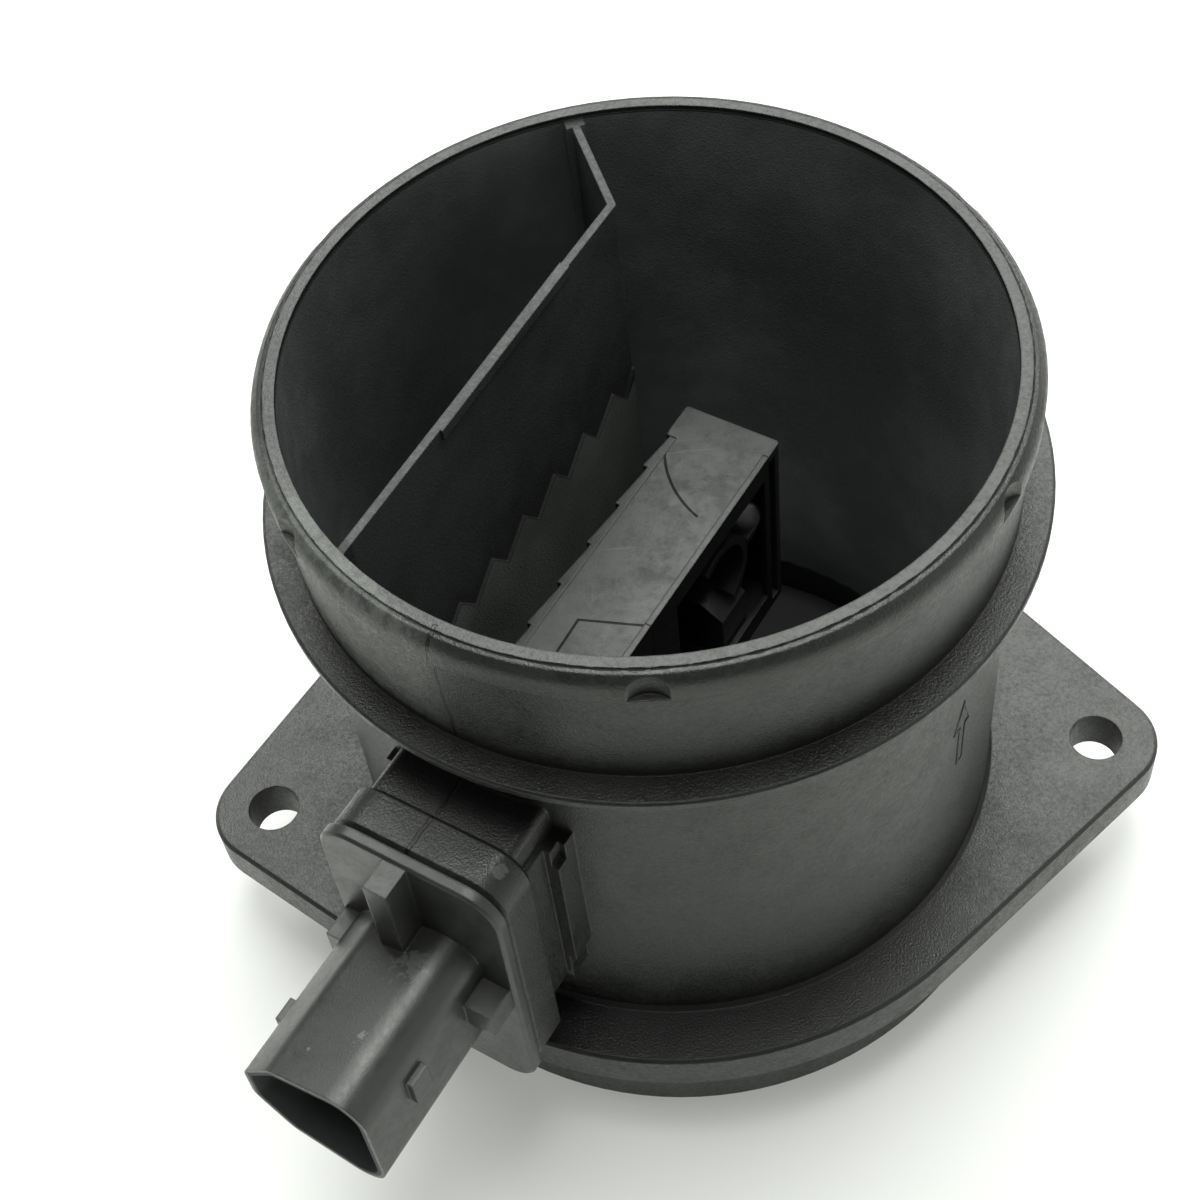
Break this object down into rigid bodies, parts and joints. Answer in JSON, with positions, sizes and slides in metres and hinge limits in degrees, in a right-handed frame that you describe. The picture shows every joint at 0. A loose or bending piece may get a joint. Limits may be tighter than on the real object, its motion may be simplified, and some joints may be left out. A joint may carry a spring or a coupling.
{
  "type": "mass airflow sensor",
  "caption": "Round plastic air duct with a side-mounted airflow sensor, connector, inner divider plate and two-hole mounting flange.",
  "frame": {"origin": "duct axis at the lower face of the flange", "axes": "+Z along the duct toward the outlet rim, X along the line of the two flange holes"},
  "size_m": [0.1292, 0.119, 0.096],
  "materials": {
    "housing_plastic": "dark grey glass-filled plastic with a fine spark-eroded grain",
    "sensor_plastic": "dark grey plastic, a little smoother than the housing",
    "cover_plastic": "dark grey plastic",
    "plate_metal": "plain rolled sheet",
    "board_ceramic": "unglazed white substrate",
    "chip_plastic": "black moulded package",
    "carrier_plastic": "smooth black plastic",
    "film_glass": "thin dark film on a chip",
    "bead_glass": "dark coated bead",
    "lead_metal": "thin tinned wire",
    "pin_metal": "plated contact pin",
    "seal_rubber": "black rubber"
  },
  "bodies": {
    "root": {"duct_housing": "housing_plastic", "sensor_body": "sensor_plastic", "channel_cover": "cover_plastic", "window_cover": "cover_plastic", "electronics_lid": "cover_plastic", "base_plate": "plate_metal", "circuit_board": "board_ceramic", "signal_chip": "chip_plastic", "chip_carrier": "carrier_plastic", "film_chip": "film_glass", "pin_1": "pin_metal", "pin_2": "pin_metal", "pin_3": "pin_metal", "pin_4": "pin_metal", "pin_5": "pin_metal", "temperature_bead": "bead_glass", "lead_upper": "lead_metal", "lead_lower": "lead_metal", "socket_seal": "seal_rubber", "flange_seal": "seal_rubber"}
  },
  "joints": []
}
